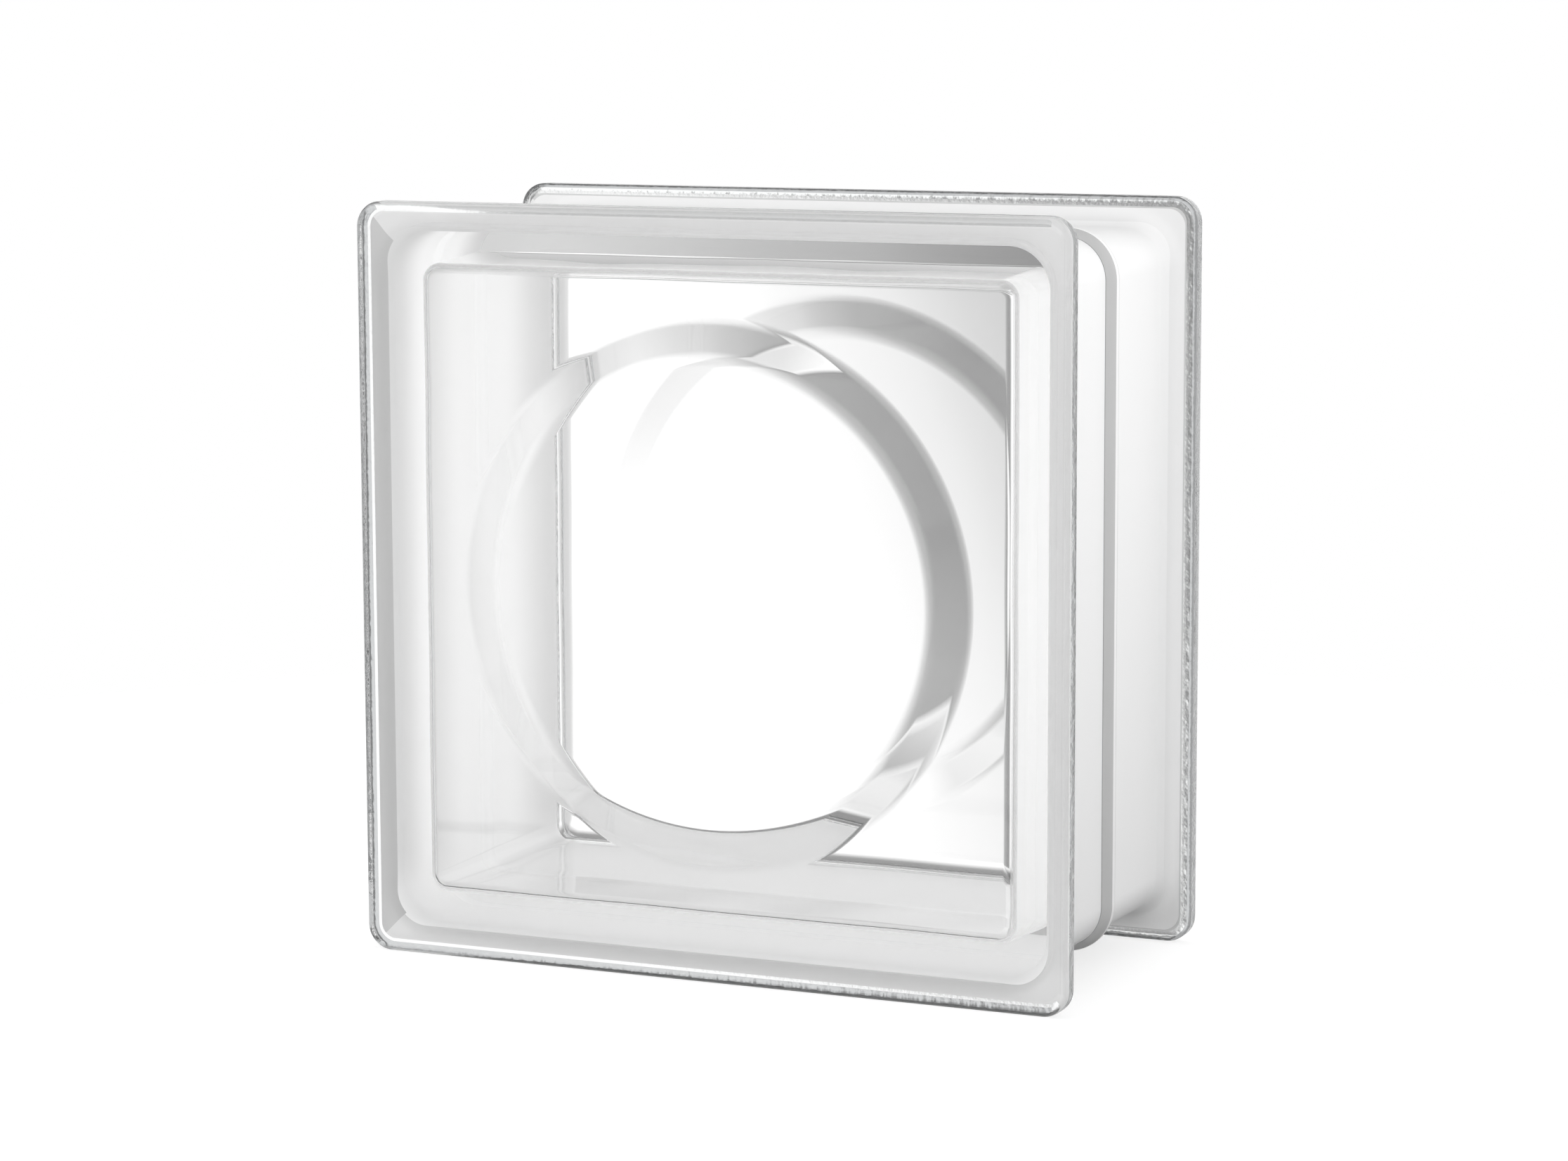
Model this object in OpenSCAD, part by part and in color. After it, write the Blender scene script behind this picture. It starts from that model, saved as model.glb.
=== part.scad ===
// Hollow glass building block. Two pressed half shells are fused at mid depth into one piece:
// a face with a flange on each side, a recessed skirt between them that takes the mortar, a weld
// bead around the skirt, and a sealed cavity whose two large walls carry a round lens.
// The block stands on its lower edge, with its faces towards -Y and +Y and its origin on the floor.

/* [Block] */
// Width of a face
block_w = 190; // [170:5:300]
// Height of a face
block_h = 190; // [170:5:300]
// Depth from face to face
block_d = 95; // [75:1:120]

/* [Flange] */
// Thickness of a flange at its edge
rim_t = 6; // [5:0.5:9]
// Corner radius of a flange, seen from the front
rim_corner_r = 6.5; // [5:0.5:9]
// Rounding between a face and the edge of its flange
face_edge_r = 2; // [1:0.25:3]
// Rounding between the edge of a flange and its back
rim_back_r = 1; // [0.5:0.25:1.5]

/* [Skirt] */
// Depth of the mortar channel, from the edge of a flange to the skirt
channel_depth = 7.5; // [6:0.25:10]
// Corner radius of the skirt, seen from the front
skirt_corner_r = 10.5; // [9:0.5:18]
// Fillet between the skirt and the back of a flange
skirt_fillet_r = 5.5; // [3:0.25:5.75]

/* [Weld bead] */
// Width of the bead along the depth of the block
bead_w = 7.5; // [5:0.25:9]
// Height of the bead above the skirt
bead_h = 2; // [1:0.25:2.25]

/* [Cavity] */
// Thickness of a face outside its lens
plate_t = 9.5; // [7:0.25:11]
// Thickness of the side wall where it leaves a face
wall_t = 8; // [7:0.25:11]
// Taper of the side wall from a face to the weld, for the release of the half shell
wall_draft = 1.5; // [0.5:0.25:2.5]
// Corner radius of the cavity at a face
cavity_corner_r = 4.5; // [3.5:0.25:8]
// Rounding between the side wall and a face, inside
cavity_edge_r = 3; // [1:0.25:3.25]

/* [Lens] */
// Diameter of the flat middle of a lens
lens_d = 113; // [80:1:114]
// Slope of the cone around the flat middle, in degrees
lens_slope = 15.5; // [8:0.5:20]
// Radial width of the rounding between the flat middle and the cone
lens_inner_w = 4; // [2:0.25:5]
// Radial width of the cone
lens_cone_w = 6; // [3:0.25:7]
// Radial width of the rounding between the cone and the face
lens_outer_w = 2.5; // [1:0.25:3.5]

/* [Hidden] */
$fn = 96;

// Cuts and joined solids run this far past each other
overrun = 1;

half_d = block_d / 2;
flange_back_z = half_d - rim_t;
inner_face_z = half_d - plate_t;

// Half the distance between the corner axes of each outline
rim_axis_x = block_w / 2 - rim_corner_r;
rim_axis_y = block_h / 2 - rim_corner_r;
skirt_axis_x = block_w / 2 - channel_depth - skirt_corner_r;
skirt_axis_y = block_h / 2 - channel_depth - skirt_corner_r;
cavity_inset = channel_depth + wall_t;
cavity_axis_x = block_w / 2 - cavity_inset - cavity_corner_r;
cavity_axis_y = block_h / 2 - cavity_inset - cavity_corner_r;

// The bead is a segment of a circle on the skirt
bead_r = (bead_w * bead_w / 4 + bead_h * bead_h) / (2 * bead_h);

// The draft of the side wall: its angle, and the rounding that touches both wall and face
draft_angle = atan(wall_draft / inner_face_z);
edge_centre_x = cavity_corner_r + cavity_edge_r * (tan(draft_angle) - 1 / cos(draft_angle));
edge_centre_z = inner_face_z - cavity_edge_r;

// The step of a lens: a rounding, a cone and a rounding that run into each other
lens_r = lens_d / 2;
cone_in_r = lens_r + lens_inner_w;
cone_out_r = cone_in_r + lens_cone_w;
lens_out_r = cone_out_r + lens_outer_w;
inner_arc_r = lens_inner_w / sin(lens_slope);
outer_arc_r = lens_outer_w / sin(lens_slope);
cone_low_h = outer_arc_r * (1 - cos(lens_slope));
cone_high_h = cone_low_h + lens_cone_w * tan(lens_slope);
lens_h = cone_high_h + inner_arc_r * (1 - cos(lens_slope));

// Carries a profile around a rectangle with rounded corners. The profile's x runs outwards from
// the corner axes, its y along the depth, and the core fills the middle between the axes.
module frame_sweep(axis_x, axis_y, low_z, high_z) {
    translate([-axis_x, -axis_y, low_z])
        cube([2 * axis_x, 2 * axis_y, high_z - low_z]);
    for (side = [0 : 3]) {
        reach = side % 2 == 0 ? axis_x : axis_y;
        run = side % 2 == 0 ? axis_y : axis_x;
        rotate(90 * side) {
            translate([reach, run, 0])
                rotate([90, 0, 0])
                    linear_extrude(2 * run)
                        children();
            translate([reach, run, 0])
                rotate_extrude(angle = 90)
                    children();
        }
    }
}

// Section of a flange: the edge between the face in front and the back behind, both rounded
module flange_profile() {
    translate([0, flange_back_z]) {
        square([rim_corner_r - face_edge_r, rim_t]);
        square([rim_corner_r - rim_back_r, rim_t - face_edge_r]);
        translate([0, rim_back_r])
            square([rim_corner_r, rim_t - face_edge_r - rim_back_r]);
        translate([rim_corner_r - face_edge_r, rim_t - face_edge_r])
            circle(face_edge_r);
        translate([rim_corner_r - rim_back_r, rim_back_r])
            circle(rim_back_r);
    }
}

// Section of the skirt: a straight wall with the bead half way and a fillet at each flange
module skirt_profile() {
    reach = flange_back_z + rim_t / 2;
    translate([0, -reach])
        square([skirt_corner_r, 2 * reach]);
    intersection() {
        translate([skirt_corner_r + bead_h - bead_r, 0])
            circle(bead_r);
        translate([0, -bead_w])
            square([skirt_corner_r + bead_w, 2 * bead_w]);
    }
    for (end = [0, 1])
        mirror([0, end])
            difference() {
                translate([0, flange_back_z - skirt_fillet_r])
                    square([skirt_corner_r + skirt_fillet_r, skirt_fillet_r + rim_t / 2]);
                translate([skirt_corner_r + skirt_fillet_r, flange_back_z - skirt_fillet_r])
                    circle(skirt_fillet_r);
            }
}

// Section of the cavity's side: widest at the weld, rounded into both faces
module cavity_profile() {
    touch_x = edge_centre_x + cavity_edge_r * cos(draft_angle);
    touch_z = edge_centre_z + cavity_edge_r * sin(draft_angle);
    for (end = [0, 1])
        mirror([0, end]) {
            polygon([
                [0, 0],
                [cavity_corner_r + wall_draft, 0],
                [touch_x, touch_z],
                [edge_centre_x, inner_face_z],
                [0, inner_face_z]
            ]);
            translate([edge_centre_x, edge_centre_z])
                intersection() {
                    circle(cavity_edge_r);
                    square(cavity_edge_r);
                }
        }
}

// Half section of a lens: the flat middle, the rounding at its edge, the cone, and the rounding
// that runs out on the face
module lens_profile() {
    polygon([
        [0, -overrun],
        [lens_out_r, -overrun],
        [lens_out_r, 0],
        [cone_out_r, 0],
        [cone_out_r, cone_low_h],
        [cone_in_r, cone_high_h],
        [lens_r, cone_high_h],
        [lens_r, lens_h],
        [0, lens_h]
    ]);
    intersection() {
        translate([lens_r, lens_h - inner_arc_r])
            circle(inner_arc_r);
        translate([lens_r, cone_high_h])
            square([lens_inner_w, lens_h - cone_high_h]);
    }
    difference() {
        translate([cone_out_r, 0])
            square([lens_outer_w, cone_low_h]);
        translate([lens_out_r, outer_arc_r])
            circle(outer_arc_r);
    }
}

module flange() {
    frame_sweep(rim_axis_x, rim_axis_y, flange_back_z, half_d)
        flange_profile();
}

module skirt() {
    reach = flange_back_z + rim_t / 2;
    frame_sweep(skirt_axis_x, skirt_axis_y, -reach, reach)
        skirt_profile();
}

module cavity() {
    frame_sweep(cavity_axis_x, cavity_axis_y, -inner_face_z, inner_face_z)
        cavity_profile();
}

module lens() {
    translate([0, 0, inner_face_z])
        rotate_extrude()
            lens_profile();
}

module glass_block() {
    color("#dfe8e4")
        translate([0, 0, block_h / 2])
            rotate([90, 0, 0])
                difference() {
                    union() {
                        skirt();
                        for (face = [0, 1])
                            mirror([0, 0, face])
                                flange();
                    }
                    union() {
                        cavity();
                        for (face = [0, 1])
                            mirror([0, 0, face])
                                lens();
                    }
                }
}

glass_block();
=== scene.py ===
import math

import bpy
import numpy as np
from mathutils import Matrix, Vector


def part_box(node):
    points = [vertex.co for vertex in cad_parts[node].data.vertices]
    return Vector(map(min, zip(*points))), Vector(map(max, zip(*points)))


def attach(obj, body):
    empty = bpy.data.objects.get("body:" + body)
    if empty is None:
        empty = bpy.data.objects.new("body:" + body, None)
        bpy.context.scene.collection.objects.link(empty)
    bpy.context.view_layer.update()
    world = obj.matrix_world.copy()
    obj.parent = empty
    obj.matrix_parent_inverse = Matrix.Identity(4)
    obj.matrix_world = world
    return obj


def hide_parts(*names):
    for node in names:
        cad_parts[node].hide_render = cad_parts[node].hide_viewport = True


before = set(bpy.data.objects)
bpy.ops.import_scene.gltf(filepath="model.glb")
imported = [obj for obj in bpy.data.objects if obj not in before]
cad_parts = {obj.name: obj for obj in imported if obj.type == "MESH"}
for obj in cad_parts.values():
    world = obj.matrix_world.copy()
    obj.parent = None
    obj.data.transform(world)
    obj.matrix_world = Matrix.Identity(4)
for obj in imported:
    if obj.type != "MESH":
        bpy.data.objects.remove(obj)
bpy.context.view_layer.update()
blockLow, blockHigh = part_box("glass_block")
mm = 0.001
mixShare, mixFirst, mixSecond, mixResult = 0, 6, 7, 2   # sockets of a Mix node that mixes colours
print("frame loaded")


def srgb(text):
    # one sRGB hex colour to a linear RGBA tuple
    parts = [int(text[i:i + 2], 16) / 255 for i in (1, 3, 5)]
    return tuple(c / 12.92 if c <= 0.04045 else ((c + 0.055) / 1.055) ** 2.4 for c in parts) + (1.0,)


def addNode(tree, kind, settings=None, links=None):
    # a setting is one of the node's own properties, or else the value of the socket of that name or number
    made = tree.nodes.new(kind)
    for name, value in (settings or {}).items():
        if isinstance(name, str) and hasattr(made, name):
            setattr(made, name, value)
        else:
            made.inputs[name].default_value = value
    for name, socket in (links or {}).items():
        tree.links.new(socket, made.inputs[name])
    return made


# Camera

cameraSetup = {
    "azimuth": 24.43,       # degrees to the right of the front face's normal
    "elevation": 8.21,      # degrees above the floor
    "roll": -0.2,           # degrees, the photo leans a little
    "distance": 1.1048,     # metres from the target
    "targetRight": 0.48,    # millimetres off the block's centre, in the picture
    "targetUp": -1.24,
    "focalPixels": 6230.0,  # focal length in pixels of the photo's width
    "photoWidth": 2232.0,
    "sensor": 36.0,         # millimetres
    "farClip": 50.0,        # metres
}


def lookAxes(azimuth, elevation, roll):
    # the picture's right and up, and the way from the target back to the camera
    a, e, r = (math.radians(v) for v in (azimuth, elevation, roll))
    back = Vector((math.sin(a) * math.cos(e), -math.cos(a) * math.cos(e), math.sin(e)))
    right = Vector((math.cos(a), math.sin(a), 0.0))
    up = back.cross(right)
    c, s = math.cos(r), math.sin(r)
    return c * right + s * up, -s * right + c * up, back


lookRight, lookUp, lookBack = lookAxes(
    cameraSetup["azimuth"], cameraSetup["elevation"], cameraSetup["roll"])
blockMiddle = (blockLow + blockHigh) / 2
target = (blockMiddle + lookRight * cameraSetup["targetRight"] * mm
          + lookUp * cameraSetup["targetUp"] * mm)
cameraData = bpy.data.cameras.new("photoCamera")
cameraData.sensor_width = cameraSetup["sensor"]
cameraData.lens = cameraSetup["focalPixels"] / cameraSetup["photoWidth"] * cameraSetup["sensor"]
cameraData.clip_end = cameraSetup["farClip"]
camera = bpy.data.objects.new("photoCamera", cameraData)
bpy.context.scene.collection.objects.link(camera)
turn = Matrix((lookRight, lookUp, lookBack)).transposed()
camera.matrix_world = Matrix.Translation(target + lookBack * cameraSetup["distance"]) @ turn.to_4x4()
bpy.context.scene.camera = camera
print("camera set")


# Materials

def newMaterial(name):
    made = bpy.data.materials.new(name)
    made.use_nodes = True
    made.node_tree.nodes.clear()
    return made, made.node_tree


# Soda-lime glass pressed in a mould: clear and almost without colour, with faces that are flat
# but not quite even, so what lies behind them wavers a little.
glassLook = {
    "ior": 1.52,
    "roughness": 0.0,
    "waveLength": 34.0,   # millimetres between the soft waves of a pressed face
    "waveHeight": 0.03,   # millimetres
    "waveDetail": 1.0,
    "absorption": 8.5,    # per metre: thin glass is clear, a look along a wall is grey
    "tintPower": 2.0,     # the shader takes the square root of its colour at a surface
}
clearGlass, tree = newMaterial("clear pressed soda-lime glass")
place = addNode(tree, "ShaderNodeTexCoord")
waves = addNode(tree, "ShaderNodeTexNoise", {
    "Scale": 1 / (glassLook["waveLength"] * mm), "Detail": glassLook["waveDetail"]},
    {"Vector": place.outputs["Object"]})
wavy = addNode(tree, "ShaderNodeBump", {"Strength": 1.0, "Distance": glassLook["waveHeight"] * mm},
               {"Height": waves.outputs["Fac"]})
path = addNode(tree, "ShaderNodeLightPath")
side = addNode(tree, "ShaderNodeNewGeometry")
inside = addNode(tree, "ShaderNodeMath", {"operation": "MULTIPLY"},
                 {0: path.outputs["Ray Length"], 1: side.outputs["Backfacing"]})
thickness = addNode(tree, "ShaderNodeMath", {
    "operation": "MULTIPLY", 1: -glassLook["tintPower"] * glassLook["absorption"]},
    {0: inside.outputs["Value"]})
clearness = addNode(tree, "ShaderNodeMath", {"operation": "EXPONENT"}, {0: thickness.outputs["Value"]})
glass = addNode(tree, "ShaderNodeBsdfPrincipled", {
    "Roughness": glassLook["roughness"], "IOR": glassLook["ior"], "Transmission Weight": 1.0},
    {"Base Color": clearness.outputs["Value"], "Normal": wavy.outputs["Normal"]})
addNode(tree, "ShaderNodeOutputMaterial", None, {"Surface": glass.outputs["BSDF"]})

# The mould leaves the land behind each rim pebbled: still clear, but it breaks up what shows through. Its
# grey tint is painted shade that darkens that land.
stippleLook = {
    "tint": "#bcbdbd",
    "grain": 1.3,        # millimetres between pebbles
    "detail": 2.0,
    "height": 0.10,      # millimetres
    "roughness": 0.25,
}
# The side of a rim and the edge of its back are where the parts of the mould meet: rough and full of small
# glints.
# Their grey tint is painted shade, which draws each rim with a dark broken line.
seamLook = {
    "tint": "#767879",
    "grain": 2.2,
    "detail": 2.0,
    "height": 0.35,
    "roughness": 0.12,
}
lighterSeamLook = dict(seamLook, tint="#c0c2c2")      # a lighter painted shade for the seam on the back of the rear flange
pebbledGlass = []
for name, look in (("stippled mould edge of pressed glass", stippleLook),
                   ("mould seam on a pressed glass rim, dark painted shade", seamLook),
                   ("rear mould seam, lighter painted shade", lighterSeamLook)):
    made, tree = newMaterial(name)
    place = addNode(tree, "ShaderNodeTexCoord")
    pebbles = addNode(tree, "ShaderNodeTexNoise", {
        "Scale": 1 / (look["grain"] * mm), "Detail": look["detail"]}, {"Vector": place.outputs["Object"]})
    pebbled = addNode(tree, "ShaderNodeBump", {"Strength": 1.0, "Distance": look["height"] * mm},
                      {"Height": pebbles.outputs["Fac"]})
    edge = addNode(tree, "ShaderNodeBsdfPrincipled", {
        "Base Color": srgb(look["tint"]), "Roughness": look["roughness"],
        "IOR": glassLook["ior"], "Transmission Weight": 1.0}, {"Normal": pebbled.outputs["Normal"]})
    addNode(tree, "ShaderNodeOutputMaterial", None, {"Surface": edge.outputs["BSDF"]})
    pebbledGlass.append(made)

# A thin white mat key coat is sprayed on the skirt for the mortar: it lets daylight through but no picture,
# and seen through the glass it is what makes the inner walls look white.
# It thins out over the fillet, where glass shows between the specks, and is greyer at its edge. Its glass
# side carries painted shade: grey over the fillet, darker on the left, and towards the flanges; its outside
# carries painted shade on the bead and at the bead's foot.
coatLook = {
    "roughness": 0.55,
    "letThrough": 0.2,      # share of the light that passes
    "grain": 0.9,           # millimetres between the specks of the spray, coarse enough to show
    "detail": 2.0,
    "height": 0.02,         # millimetres
    "shadedLayer": "sprayed mat key coat with painted shade inside",
    "shadeGrey": "#cecece",    # painted shade on that layer's glass side next to a flange
    "shadeStartDepth": 12.0,      # millimetres from mid depth to where the painted shade starts
    "shadeFullDepth": 33.0,      # and to where it is full
    "shadeStartHeight": 7.8,         # millimetres above the floor where the painted shade starts: below, the coat stays white
    "shadeFullHeight": 26.0,      # and above, the painted shade is full
    "layers": {             # colour outside, colour on the glass side, share of bare glass between specks
        "sprayed mat key coat with painted shade inside": ("#f9f9f9", "#f6f6f6", 0.0),
        # painted shade on the glass side over the fillet
        "key coat sprayed thin with painted shade inside": ("#f7f7f7", "#d4d4d4", 0.2),
        # painted shade, darker on the left side
        "key coat on the left with darker painted shade inside": ("#f7f7f7", "#bababa", 0.15),
        "grey edge of the key coat": ("#cccccc", "#d8d8d8", 0.25),
        # painted grey shade on the outside of the bead, and painted crease shade at its foot
        "key coat on the weld bead with painted grey shade": ("#b6b6b6", "#f8f8f8", 0.0),
        "painted crease shade at the foot of the weld bead": ("#747474", "#f4f4f4", 0.0),
    },
}
coats = []
for name, (outer, inner, bare) in coatLook["layers"].items():
    made, tree = newMaterial(name)
    place = addNode(tree, "ShaderNodeTexCoord")
    specks = addNode(tree, "ShaderNodeTexNoise", {
        "Scale": 1 / (coatLook["grain"] * mm), "Detail": coatLook["detail"]},
        {"Vector": place.outputs["Object"]})
    speckled = addNode(tree, "ShaderNodeBump", {"Strength": 1.0, "Distance": coatLook["height"] * mm},
                       {"Height": specks.outputs["Fac"]})
    coat = addNode(tree, "ShaderNodeBsdfPrincipled", {
        "Base Color": srgb(outer), "Roughness": coatLook["roughness"],
        "IOR": glassLook["ior"], "Transmission Weight": bare},
        {"Normal": speckled.outputs["Normal"]})
    side = addNode(tree, "ShaderNodeNewGeometry")
    twoFaced = addNode(tree, "ShaderNodeMix", {
        "data_type": "RGBA", mixFirst: srgb(outer), mixSecond: srgb(inner)},
        {mixShare: side.outputs["Backfacing"]})
    tree.links.new(twoFaced.outputs[mixResult], coat.inputs["Base Color"])
    # painted shade: that layer's glass side greys away from mid depth and above the floor
    if name == coatLook["shadedLayer"]:
        spot = addNode(tree, "ShaderNodeSeparateXYZ", None, {"Vector": place.outputs["Object"]})
        depth = addNode(tree, "ShaderNodeMath", {"operation": "ABSOLUTE"}, {0: spot.outputs["Y"]})
        shadeByDepth = addNode(tree, "ShaderNodeMapRange", {
            "interpolation_type": "SMOOTHSTEP", "From Min": coatLook["shadeStartDepth"] * mm,
            "From Max": coatLook["shadeFullDepth"] * mm}, {"Value": depth.outputs["Value"]})
        shadeByHeight = addNode(tree, "ShaderNodeMapRange", {
            "interpolation_type": "SMOOTHSTEP", "From Min": coatLook["shadeStartHeight"] * mm,
            "From Max": coatLook["shadeFullHeight"] * mm}, {"Value": spot.outputs["Z"]})
        grey = addNode(tree, "ShaderNodeMath", {"operation": "MULTIPLY"},
                       {0: shadeByDepth.outputs["Result"], 1: shadeByHeight.outputs["Result"]})
        graded = addNode(tree, "ShaderNodeMix", {
            "data_type": "RGBA", mixFirst: srgb(inner), mixSecond: srgb(coatLook["shadeGrey"])},
            {mixShare: grey.outputs["Value"]})
        tree.links.new(graded.outputs[mixResult], twoFaced.inputs[mixSecond])
    milky = addNode(tree, "ShaderNodeBsdfTranslucent", {"Color": srgb(inner)})
    thin = addNode(tree, "ShaderNodeMixShader", {"Fac": coatLook["letThrough"]},
                   {1: coat.outputs["BSDF"], 2: milky.outputs["BSDF"]})
    addNode(tree, "ShaderNodeOutputMaterial", None, {"Surface": thin.outputs["Shader"]})
    coats.append(made)
print("materials made")

# Glass block

blockSizes = {              # millimetres
    "rimThickness": 6.0,
    "rimCorner": 6.5,       # corner radius of a flange, seen from the front
    "faceEdge": 2.0,        # rounding between a face and the side of its rim
    "rimBack": 1.0,         # rounding between the side of a rim and its back
    "channelDepth": 7.5,    # from the side of a rim to the skirt
    "skirtCorner": 10.5,
    "skirtFillet": 5.5,
    "beadWidth": 7.5,
    "beadHeight": 2.0,
    "beadFoot": 0.5,        # hollow between the skirt and the bead
    "seamLand": 1.8,        # from the rim's side to the end of the mould seam
    "bareLand": 2.6,        # from the rim's side to the edge of the coat
    "greyEdge": 0.6,        # width of the coat's grey edge
    "thinShadedCoat": 3.9,        # from the coat's edge to where the thin coat with painted shade inside ends and the coat is full
    "leftShadeCoat": 4.0,         # the same on the left side, whose painted shade is darker
    "leftShadeSide": -0.71,       # the left side is where the outline faces further left than this
    "plate": 9.5,           # thickness of a face outside its lens
    "wall": 8.0,
    "draft": 1.5,
    "cavityCorner": 4.5,
    "cavityEdge": 3.0,
    "unevenness": 0.08,     # the walls waver a little along the plunger's sides
    "unevenRun": 60.0,      # length of a waver around the cavity
    "unevenDepth": 138.0,   # and along its depth
    "finerRate": 1.7,       # a finer waver goes round this many times as often
    "finerShare": 0.4,      # and makes this share of the unevenness
    "lensDiameter": 113.0,  # flat middle of a lens
    "stepSlope": 15.5,      # degrees, the cone around the flat
    "stepInner": 4.0,       # radial widths of the rounding at the flat, the cone and the outer rounding
    "stepCone": 6.0,
    "stepOuter": 2.5,
    "cornerSteps": 16,      # facets in a quarter turn, seen from the front
    "runSteps": 44,         # along a straight side
    "faceSteps": 12,        # from here on across each part of the section
    "backSteps": 8,
    "seamSteps": 2,
    "landSteps": 3,
    "filletSteps": 20,
    "skirtSteps": 6,
    "footSteps": 5,
    "beadSteps": 10,        # half the bead
    "shadedFoot": 2,          # facets of the foot that get painted dark crease shade
    "shadedBead": 8,          # facets of half the bead that get painted grey shade
    "edgeSteps": 24,        # the rounding between the cavity's wall and a plate
    "wallSteps": 12,
    "innerSteps": 12,       # the two roundings of a lens
    "outerSteps": 10,
}
halfX, halfY, halfZ = ((blockHigh[i] - blockLow[i]) / 2 / mm for i in range(3))
middle = np.array([blockMiddle.x, blockMiddle.y, blockMiddle.z]) / mm
blockFinishes = (clearGlass, *pebbledGlass, *coats)
(clearFinish, stippleFinish, seamFinish, lighterSeamFinish, coatFinish, thinShadedFinish, leftShadeFinish,
 edgeFinish, beadShadeFinish, footShadeFinish) = range(len(blockFinishes))
points, normals, faces, finishes = [], [], [], []


def outline(axisX, axisZ):
    # corner axes and outward directions around a rectangle with rounded corners
    corners = [(1, 1), (-1, 1), (-1, -1), (1, -1)]
    axes, ways = [], []
    for side, corner in enumerate(corners):
        here = np.array(corner) * (axisX, axisZ)
        there = np.array(corners[(side + 1) % len(corners)]) * (axisX, axisZ)
        for i in range(blockSizes["cornerSteps"] + 1):
            turned = math.radians(90 * (side + i / blockSizes["cornerSteps"]))
            axes.append(here)
            ways.append((math.cos(turned), math.sin(turned)))
        for i in range(1, blockSizes["runSteps"]):
            axes.append(here + (there - here) * i / blockSizes["runSteps"])
            ways.append(ways[-1])
    return np.array(axes), np.array(ways)


def addLoop(axes, ways, reach, depth, slopeOut, slopeDepth):
    # one ring of points: reach from the corner axes, depth from the mid plane, and the normal there
    flat = axes + ways * reach
    first = len(points)
    for (x, z), (wx, wz) in zip(flat, ways):
        points.append((x, depth, z))
        normals.append((wx * slopeOut, slopeDepth, wz * slopeOut))
    return list(range(first, len(points)))


def bridge(front, rear, finish, outwards):
    # facets between two rings, with one finish or a list of finishes around the ring
    n = len(front)
    for i in range(n):
        j = (i + 1) % n
        quad = (front[i], rear[i], rear[j], front[j])
        faces.append(quad if outwards else quad[::-1])
        finishes.append(finish[i] if isinstance(finish, list) else finish)


def fillFlat(loop, finish, facesFront):
    # a flat disc inside a ring, as a fan to its middle point
    middlePoint = np.mean([points[i] for i in loop], axis=0)
    points.append(tuple(middlePoint))
    normals.append(normals[loop[0]])
    n = len(loop)
    for i in range(n):
        tri = (loop[i], loop[(i + 1) % n], len(points) - 1)
        faces.append(tri if facesFront else tri[::-1])
        finishes.append(finish)


def arc(centreOut, centreDepth, radius, startDeg, endDeg, steps, hollow=False):
    # points and normals along an arc of the section; a hollow arc's normals point to its centre
    side = -1 if hollow else 1
    found = []
    for i in range(steps + 1):
        t = math.radians(startDeg + (endDeg - startDeg) * i / steps)
        found.append((centreOut + radius * math.cos(t), centreDepth + radius * math.sin(t),
                      side * math.cos(t), side * math.sin(t)))
    return found


def mirrored(profile):
    # the same section behind the mid plane
    return [(out, -depth, n, -d) for out, depth, n, d in reversed(profile)]


backDepth = -halfY + blockSizes["rimThickness"]
skirtInset = blockSizes["channelDepth"] + blockSizes["skirtCorner"]
skirtAxis = np.array([halfX, halfZ]) - skirtInset


def rimHalf(s):
    # the rim in section, from the face around the edge to its back
    front = arc(s["rimCorner"] - s["faceEdge"], -halfY + s["faceEdge"], s["faceEdge"],
                -90, 0, s["faceSteps"])
    back = arc(s["rimCorner"] - s["rimBack"], backDepth - s["rimBack"], s["rimBack"],
               0, 90, s["backSteps"])
    return front + back


def skirtHalf(s):
    # the skirt in section, from the end of its fillet to the middle of the bead
    beadRadius = (s["beadWidth"] ** 2 / 4 + s["beadHeight"] ** 2) / (2 * s["beadHeight"])
    beadMiddle = s["skirtCorner"] + s["beadHeight"] - beadRadius
    foot = s["beadFoot"]
    footDepth = math.sqrt((beadRadius + foot) ** 2 - (s["skirtCorner"] + foot - beadMiddle) ** 2)
    footTurn = math.degrees(math.atan2(footDepth, s["skirtCorner"] + foot - beadMiddle))
    firstFlat = backDepth + s["skirtFillet"]
    flatRun = -footDepth - firstFlat
    skirt = [(s["skirtCorner"], firstFlat + flatRun * i / s["skirtSteps"], 1, 0)
             for i in range(1, s["skirtSteps"])]
    hollow = arc(s["skirtCorner"] + foot, -footDepth, foot,
                 180, 180 - footTurn, s["footSteps"], hollow=True)
    bead = arc(beadMiddle, 0, beadRadius, -footTurn, 0, s["beadSteps"])
    return skirt, hollow + bead[1:]


def addDraped(flat, front):
    # one ring of points laid on the back of a flange and the fillet into the skirt
    radius = blockSizes["skirtFillet"]
    side = 1 if front else -1
    first = len(points)
    for p in flat:
        past = np.maximum(np.abs(p) - skirtAxis, 0.0)
        reach = np.linalg.norm(past)
        way = np.sign(p) * past / reach
        out = min(max(reach - blockSizes["skirtCorner"], 0.0), radius)
        lean = (radius - out) / radius
        rise = math.sqrt(1 - lean * lean)
        depth = backDepth + radius * (1 - rise)
        points.append((p[0], depth * side, p[1]))
        normals.append((way[0] * lean, rise * side, way[1] * lean))
    return list(range(first, len(points)))


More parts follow.
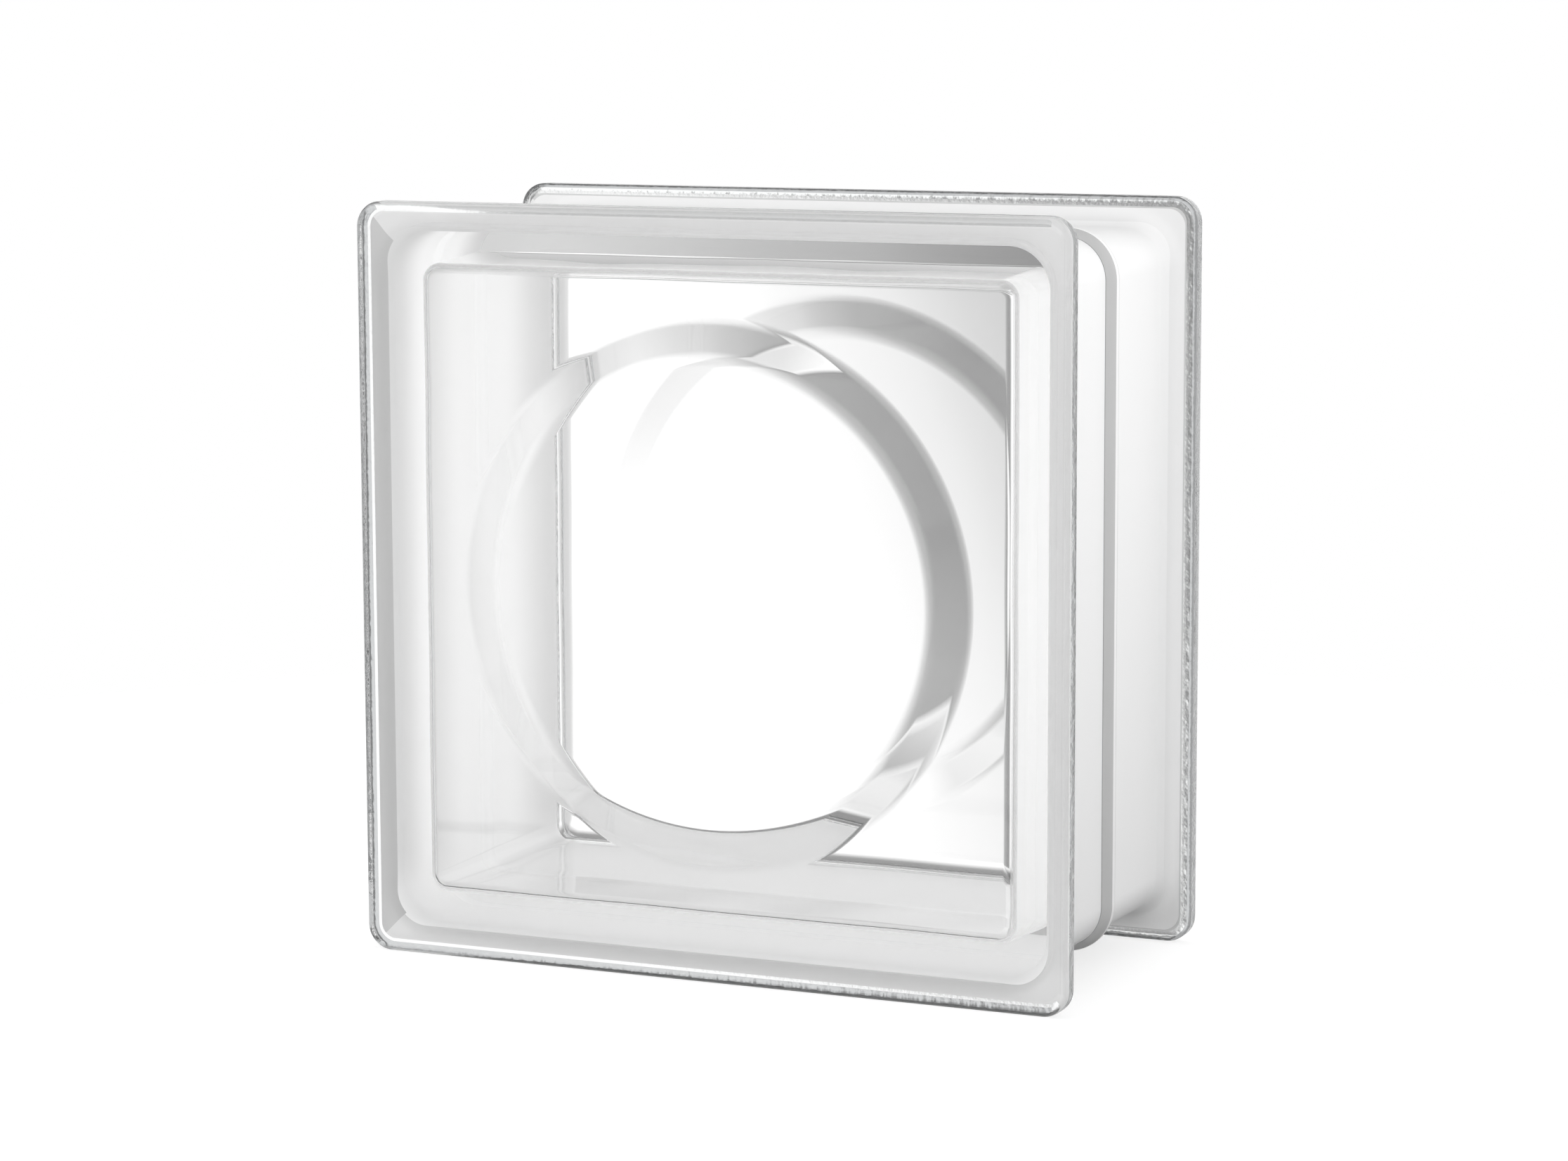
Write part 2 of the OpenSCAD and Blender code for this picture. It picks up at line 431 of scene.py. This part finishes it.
rimAxes = outline(halfX - blockSizes["rimCorner"], halfZ - blockSizes["rimCorner"])
skirtAxes = outline(*skirtAxis)
rimProfile = rimHalf(blockSizes)
skirtProfile, beadProfile = skirtHalf(blockSizes)
landEdge = rimAxes[0] + rimAxes[1] * (blockSizes["rimCorner"] - blockSizes["rimBack"])
seamEdge = rimAxes[0] + rimAxes[1] * (blockSizes["rimCorner"] - blockSizes["seamLand"])
coatEdge = rimAxes[0] + rimAxes[1] * (blockSizes["rimCorner"] - blockSizes["bareLand"])
skirtEdge = skirtAxes[0] + skirtAxes[1] * blockSizes["skirtCorner"]
filletReach = blockSizes["channelDepth"] - blockSizes["bareLand"]
filletTurn = math.acos(1 - filletReach / blockSizes["skirtFillet"])


def coatAround(run):
    # the coat's finish this far from its edge, around the outline: grey edge, thin coat with painted shade
    # inside, darker painted shade on the left side, then full coat
    if run < blockSizes["greyEdge"]:
        finish = edgeFinish
    elif run < blockSizes["thinShadedCoat"]:
        finish = thinShadedFinish
    else:
        finish = coatFinish
    leftShaded = leftShadeFinish if run < blockSizes["leftShadeCoat"] else coatFinish
    return [leftShaded if wx < blockSizes["leftShadeSide"] else finish for wx in skirtAxes[1][:, 0]]


def flangeSteps(front):
    # outlines and finishes across the back of a flange: mould seam with painted dark shade, lighter on the
    # rear flange, pebbled bare land with painted grey shade, and coated fillet
    seam = seamFinish if front else lighterSeamFinish
    steps = []
    for i in range(1, blockSizes["seamSteps"] + 1):
        steps.append((landEdge + (seamEdge - landEdge) * i / blockSizes["seamSteps"], seam))
    for i in range(1, blockSizes["landSteps"] + 1):
        steps.append((seamEdge + (coatEdge - seamEdge) * i / blockSizes["landSteps"], stippleFinish))
    for i in range(1, blockSizes["filletSteps"] + 1):
        left = filletTurn * (1 - i / blockSizes["filletSteps"])
        share = 1 - blockSizes["skirtFillet"] * (1 - math.cos(left)) / filletReach
        steps.append((coatEdge + (skirtEdge - coatEdge) * share, coatAround(share * filletReach)))
    return steps


def addFlange(front):
    # a face with its rim, and the back of the flange down to the ring where the skirt starts
    rim = [addLoop(*rimAxes, *p) for p in (rimProfile if front else mirrored(rimProfile))]
    fillFlat(rim[0] if front else rim[-1], clearFinish, facesFront=front)
    facets = list(zip(rim, rim[1:]))
    for i, (a, b) in enumerate(facets):
        fromFace = i if front else len(facets) - 1 - i
        # past the face, the rim's side and back edge take the seam's painted dark shade
        bridge(a, b, clearFinish if fromFace < blockSizes["faceSteps"] else seamFinish, outwards=True)
    last = rim[-1] if front else rim[0]
    for flat, finish in flangeSteps(front):
        ring = addDraped(flat, front)
        bridge(last, ring, finish, outwards=front)
        last = ring
    return last


frontFillet = addFlange(front=True)
rearFillet = addFlange(front=False)
beadRun = beadProfile + mirrored(beadProfile)[1:]
footSteps = blockSizes["footSteps"]
last = frontFillet
for profile, isBead in ((skirtProfile, False), (beadRun, True), (mirrored(skirtProfile), False)):
    for i, p in enumerate(profile):
        ring = addLoop(*skirtAxes, *p)
        near = min(i, len(profile) - i)     # facets from the nearer side of the bead
        finish = coatFinish
        # painted crease shade at the bead's foot, painted grey shade on the bead
        if isBead and footSteps - blockSizes["shadedFoot"] < near <= footSteps:
            finish = footShadeFinish
        elif isBead and footSteps < near <= footSteps + blockSizes["shadedBead"]:
            finish = beadShadeFinish
        bridge(last, ring, finish, outwards=True)
        last = ring
bridge(last, rearFillet, coatFinish, outwards=True)


def cavityHalf(s):
    # the cavity's side in section: from the front plate's flat to the weld plane
    plateDepth = -halfY + s["plate"]
    draft = math.atan2(s["draft"], -plateDepth)
    edgeOut = s["cavityCorner"] + s["cavityEdge"] * (math.tan(draft) - 1 / math.cos(draft))
    edge = arc(edgeOut, plateDepth + s["cavityEdge"], s["cavityEdge"], -90,
               -math.degrees(draft), s["edgeSteps"])
    wall = [(out, depth, -n, -d) for out, depth, n, d in edge]
    startOut, startDepth = edge[-1][0], edge[-1][1]
    endOut = s["cavityCorner"] + s["draft"]
    for i in range(1, s["wallSteps"]):
        share = i / s["wallSteps"]
        wall.append((startOut + (endOut - startOut) * share, startDepth * (1 - share),
                     -math.cos(draft), math.sin(draft)))
    wall.append((endOut, 0.0, -1, 0))
    return wall


def lensHalf(s):
    # radius, depth into the plate and slope along the step of the lens, from its sunk flat outwards
    slope = math.radians(s["stepSlope"])
    innerRadius, outerRadius = s["stepInner"] / math.sin(slope), s["stepOuter"] / math.sin(slope)
    coneSunk = outerRadius * (1 - math.cos(slope)) + s["stepCone"] * math.tan(slope)
    flatR, flatSunk = s["lensDiameter"] / 2, coneSunk + innerRadius * (1 - math.cos(slope))
    step = []
    for i in range(s["innerSteps"] + 1):
        t = slope * i / s["innerSteps"]
        step.append((flatR + innerRadius * math.sin(t), flatSunk - innerRadius * (1 - math.cos(t)), t))
    outer = flatR + s["stepInner"] + s["stepCone"] + s["stepOuter"]
    for i in range(s["outerSteps"], -1, -1):
        t = slope * i / s["outerSteps"]
        step.append((outer - outerRadius * math.sin(t), outerRadius * (1 - math.cos(t)), t))
    return step


cavityInset = blockSizes["channelDepth"] + blockSizes["wall"] + blockSizes["cavityCorner"]
cavityAxes = outline(halfX - cavityInset, halfZ - cavityInset)
cavityProfile = cavityHalf(blockSizes)
cavityOutline = cavityAxes[0] + cavityAxes[1] * blockSizes["cavityCorner"]
stretches = np.linalg.norm(np.diff(cavityOutline, axis=0), axis=1)
cavityRun = np.concatenate([[0.0], np.cumsum(stretches)])
turned = 2 * math.pi * cavityRun / cavityRun[-1]
wholeTurns = round(cavityRun[-1] / blockSizes["unevenRun"])
finerTurns = math.floor(blockSizes["finerRate"] * wholeTurns)
wallLoops = []
for reach, depth, slopeOut, slopeDepth in cavityProfile + mirrored(cavityProfile)[1:]:
    phase = 2 * math.pi * depth / blockSizes["unevenDepth"]
    broad = (1 - blockSizes["finerShare"]) * np.sin(wholeTurns * turned + phase)
    finer = blockSizes["finerShare"] * np.sin(finerTurns * turned - 2 * phase)
    waver = blockSizes["unevenness"] * (broad + finer)
    lean = np.gradient(waver, cavityRun)
    ring = addLoop(*cavityAxes, reach, depth, slopeOut, slopeDepth)
    for k, (i, (wx, wz)) in enumerate(zip(ring, cavityAxes[1])):
        x, y, z = points[i]
        points[i] = (x + wx * waver[k], y, z + wz * waver[k])
        nx, ny, nz = normals[i]
        normals[i] = (nx + slopeOut * lean[k] * wz, ny, nz - slopeOut * lean[k] * wx)
    wallLoops.append(ring)
for a, b in zip(wallLoops, wallLoops[1:]):
    bridge(a, b, clearFinish, outwards=False)

# the plates with their lenses, whose rings have as many points as the cavity's outline
plateDepth = halfY - blockSizes["plate"]
spokes = cavityAxes[0] + cavityAxes[1]
spokes = spokes / np.linalg.norm(spokes, axis=1)[:, None]
centreAxes = (np.zeros_like(spokes), spokes)
for front in (True, False):
    side = -1 if front else 1
    rings = [addLoop(*centreAxes, r, side * (plateDepth + sunk), -math.sin(t), -side * math.cos(t))
             for r, sunk, t in lensHalf(blockSizes)]
    for a, b in zip(rings, rings[1:]):
        bridge(a, b, clearFinish, outwards=not front)
    bridge(rings[-1], wallLoops[0] if front else wallLoops[-1], clearFinish, outwards=not front)
    fillFlat(rings[0], clearFinish, facesFront=not front)

blockMesh = bpy.data.meshes.new("pressed_glass_block")
blockMesh.from_pydata([tuple((np.array(p) + middle) * mm) for p in points], [], faces)
for finish in blockFinishes:
    blockMesh.materials.append(finish)
blockMesh.polygons.foreach_set("material_index", finishes)
blockMesh.polygons.foreach_set("use_smooth", [True] * len(faces))
blockMesh.normals_split_custom_set_from_vertices([Vector(n).normalized() for n in normals])
blockMesh.update()
block = bpy.data.objects.new("pressed_glass_block", blockMesh)
bpy.context.scene.collection.objects.link(block)
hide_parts("glass_block")
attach(block, "root")
print("glass block made:", len(points), "points,", len(faces), "faces")

# Stage: a pale floor that keeps a faint shadow, and a studio that is white straight behind the
# block and has grey panels around, which draw the dark lines in clear glass

stageLook = {
    "floorRadius": 0.45,        # metres
    "floorSides": 96,
    "floorDrop": 0.2,           # millimetres below the block
    "floorColour": "#505050",   # for the light it throws back
    "floorShown": "#b4b4b4",    # the part of the white that the shadow can darken
    "floorGlow": 0.64,          # the rest of the white
    "white": "#ffffff",         # the background as the camera sees it
    "fillFront": 1.68,          # soft light from the camera's side and from behind the block
    "fillBehind": 1.95,
    "fillTurn": (-0.3, 0.9),    # how far ahead the first ends and the second starts
    "fillAbove": 0.4,           # share of it straight above, so that upward faces stay below white
    "aboveTurn": (0.1, 0.9),    # how far up it starts to weaken and is that weak
    "backdrop": 1.5,            # behind the block, so that it shows white through four glass surfaces
    "glassBounces": 24,
    "glossyBounces": 12,
    "diffuseBounces": 10,
    "tones": [                  # right, up, how it joins the rest, and the tone that glass sees that way
        # dark panel on the right, which draws the right half of a lens's step
        (1.0, 0.34, "MULTIPLY", [
            (-1.0, 1.0), (-0.02, 1.0), (0.0, 0.88), (0.02, 0.76), (0.045, 0.65), (0.055, 0.56),
            (0.066, 0.48), (0.1, 0.32), (0.2, 0.19), (0.28, 0.19), (0.36, 0.85), (0.5, 0.8), (1.0, 0.8)]),
        # white strips below and above the backdrop
        (0.0, 1.0, "LIGHTEN", [
            (-1.0, 0.0), (-0.45, 0.0), (-0.3, 0.6), (-0.15, 1.05), (-0.1, 0.5), (-0.07, 0.0),
            (0.245, 0.0), (0.3, 1.5), (0.56, 1.5), (0.66, 0.0), (1.0, 0.0)]),
        # dark towards the ground and towards the ceiling
        (0.0, 1.0, "MULTIPLY", [
            (-1.0, 0.15), (-0.5, 0.2), (-0.35, 0.6), (-0.2, 1.0),
            (0.52, 1.0), (0.65, 0.6), (0.8, 0.35), (1.0, 0.3)]),
        # a little grey on the left
        (1.0, 0.0, "MULTIPLY", [(-1.0, 0.8), (-0.45, 0.85), (-0.2, 1.0), (1.0, 1.0)]),
        # grey at the upper left
        (-0.7, 0.7, "MULTIPLY", [(-1.0, 1.0), (0.12, 1.0), (0.17, 0.8), (0.22, 0.62), (1.0, 0.62)]),
    ],
}
scene = bpy.context.scene
scene.view_settings.view_transform = "Standard"
scene.cycles.max_bounces = stageLook["glassBounces"]
scene.cycles.transmission_bounces = stageLook["glassBounces"]
scene.cycles.glossy_bounces = stageLook["glossyBounces"]
scene.cycles.diffuse_bounces = stageLook["diffuseBounces"]
scene.cycles.blur_glossy = 0.0      # light has to reach the walls through clear glass

paleFloor, tree = newMaterial("pale paper floor")
path = addNode(tree, "ShaderNodeLightPath")
shade = addNode(tree, "ShaderNodeMix", {
    "data_type": "RGBA", mixFirst: srgb(stageLook["floorColour"]),
    mixSecond: srgb(stageLook["floorShown"])}, {mixShare: path.outputs["Is Camera Ray"]})
paper = addNode(tree, "ShaderNodeBsdfDiffuse", None, {"Color": shade.outputs[mixResult]})
glowing = addNode(tree, "ShaderNodeMath", {"operation": "MULTIPLY", 1: stageLook["floorGlow"]},
                  {0: path.outputs["Is Camera Ray"]})
glow = addNode(tree, "ShaderNodeEmission", {"Color": srgb(stageLook["white"])},
               {"Strength": glowing.outputs["Value"]})
lit = addNode(tree, "ShaderNodeAddShader", None, {0: paper.outputs["BSDF"], 1: glow.outputs["Emission"]})
addNode(tree, "ShaderNodeOutputMaterial", None, {"Surface": lit.outputs["Shader"]})
floorMesh = bpy.data.meshes.new("floor")
floorRim = []
for i in range(stageLook["floorSides"]):
    t = 2 * math.pi * i / stageLook["floorSides"]
    floorRim.append((stageLook["floorRadius"] * math.cos(t), stageLook["floorRadius"] * math.sin(t), 0))
floorMesh.from_pydata(floorRim, [], [tuple(range(len(floorRim)))])
floorMesh.materials.append(paleFloor)
floor = bpy.data.objects.new("floor", floorMesh)
floor.location.z = blockLow.z - stageLook["floorDrop"] * mm
floor.visible_glossy = False        # the glass shows the backdrop, not the floor
floor.visible_transmission = False
scene.collection.objects.link(floor)

world = bpy.data.worlds.new("white studio")
scene.world = world
world.use_nodes = True
tree = world.node_tree
tree.nodes.clear()
where = addNode(tree, "ShaderNodeTexCoord")
path = addNode(tree, "ShaderNodeLightPath")

# the studio is the same in front of the block as behind it, turned half round
forward = Vector((-lookBack.x, -lookBack.y, 0.0)).normalized()
ahead = addNode(tree, "ShaderNodeVectorMath", {"operation": "DOT_PRODUCT", 1: tuple(forward)},
                {0: where.outputs["Generated"]})
half = addNode(tree, "ShaderNodeMath", {"operation": "SIGN"}, {0: ahead.outputs["Value"]})
halfTurn = addNode(tree, "ShaderNodeCombineXYZ", {"Z": 1.0},
                   {"X": half.outputs["Value"], "Y": half.outputs["Value"]})
folded = addNode(tree, "ShaderNodeVectorMath", {"operation": "MULTIPLY"},
                 {0: where.outputs["Generated"], 1: halfTurn.outputs["Vector"]})
seen = None
for right, up, join, stops in stageLook["tones"]:
    along = addNode(tree, "ShaderNodeVectorMath", {
        "operation": "DOT_PRODUCT", 1: tuple(lookRight * right + lookUp * up)},
        {0: folded.outputs["Vector"]})
    span = addNode(tree, "ShaderNodeMapRange", {"From Min": -1.0, "From Max": 1.0},
                   {"Value": along.outputs["Value"]})
    ramp = addNode(tree, "ShaderNodeValToRGB", None, {"Fac": span.outputs["Result"]})
    keys = ramp.color_ramp.elements
    ready = len(keys)               # a new ramp has its first and last key
    for i, (position, grey) in enumerate(stops):
        key = keys[i] if i < ready else keys.new(1.0)
        key.position = (position + 1) / 2
        key.color = (grey, grey, grey, 1)
    graded = addNode(tree, "ShaderNodeMix", {
        "data_type": "RGBA", "blend_type": join, mixShare: 1.0,
        mixFirst: (stageLook["backdrop"],) * 3 + (1,)}, {mixSecond: ramp.outputs["Color"]})
    if seen:
        tree.links.new(seen.outputs[mixResult], graded.inputs[mixFirst])
    seen = graded

# what lights the mat surfaces is plain and soft
fillEnd, fillStart = stageLook["fillTurn"]
behind = addNode(tree, "ShaderNodeMapRange", {
    "From Min": fillEnd, "From Max": fillStart,
    "To Min": stageLook["fillFront"], "To Max": stageLook["fillBehind"]}, {"Value": ahead.outputs["Value"]})
upright = addNode(tree, "ShaderNodeSeparateXYZ", None, {"Vector": where.outputs["Generated"]})
aboveStart, aboveEnd = stageLook["aboveTurn"]
height = addNode(tree, "ShaderNodeMapRange", {
    "From Min": aboveStart, "From Max": aboveEnd, "To Min": 1.0, "To Max": stageLook["fillAbove"]},
    {"Value": upright.outputs["Z"]})
fill = addNode(tree, "ShaderNodeMath", {"operation": "MULTIPLY"},
               {0: behind.outputs["Result"], 1: height.outputs["Result"]})

# clear glass sees the tones, mat surfaces get the fill, and the camera sees white
bent = addNode(tree, "ShaderNodeMath", {"operation": "MAXIMUM"},
               {0: path.outputs["Is Glossy Ray"], 1: path.outputs["Is Transmission Ray"]})
scattered = addNode(tree, "ShaderNodeMath", {"operation": "ADD"},
                    {0: path.outputs["Is Diffuse Ray"], 1: path.outputs["Diffuse Depth"]})
throughGlass = addNode(tree, "ShaderNodeMath", {"operation": "SUBTRACT", "use_clamp": True},
                       {0: bent.outputs["Value"], 1: scattered.outputs["Value"]})
lit = addNode(tree, "ShaderNodeMix", {"data_type": "RGBA"}, {
    mixShare: throughGlass.outputs["Value"], mixFirst: fill.outputs["Value"],
    mixSecond: seen.outputs[mixResult]})
shown = addNode(tree, "ShaderNodeMix", {"data_type": "RGBA", mixSecond: srgb(stageLook["white"])},
                {mixShare: path.outputs["Is Camera Ray"], mixFirst: lit.outputs[mixResult]})
sky = addNode(tree, "ShaderNodeBackground", {"Strength": 1.0}, {"Color": shown.outputs[mixResult]})
addNode(tree, "ShaderNodeOutputWorld", None, {"Surface": sky.outputs["Background"]})
print("stage set")
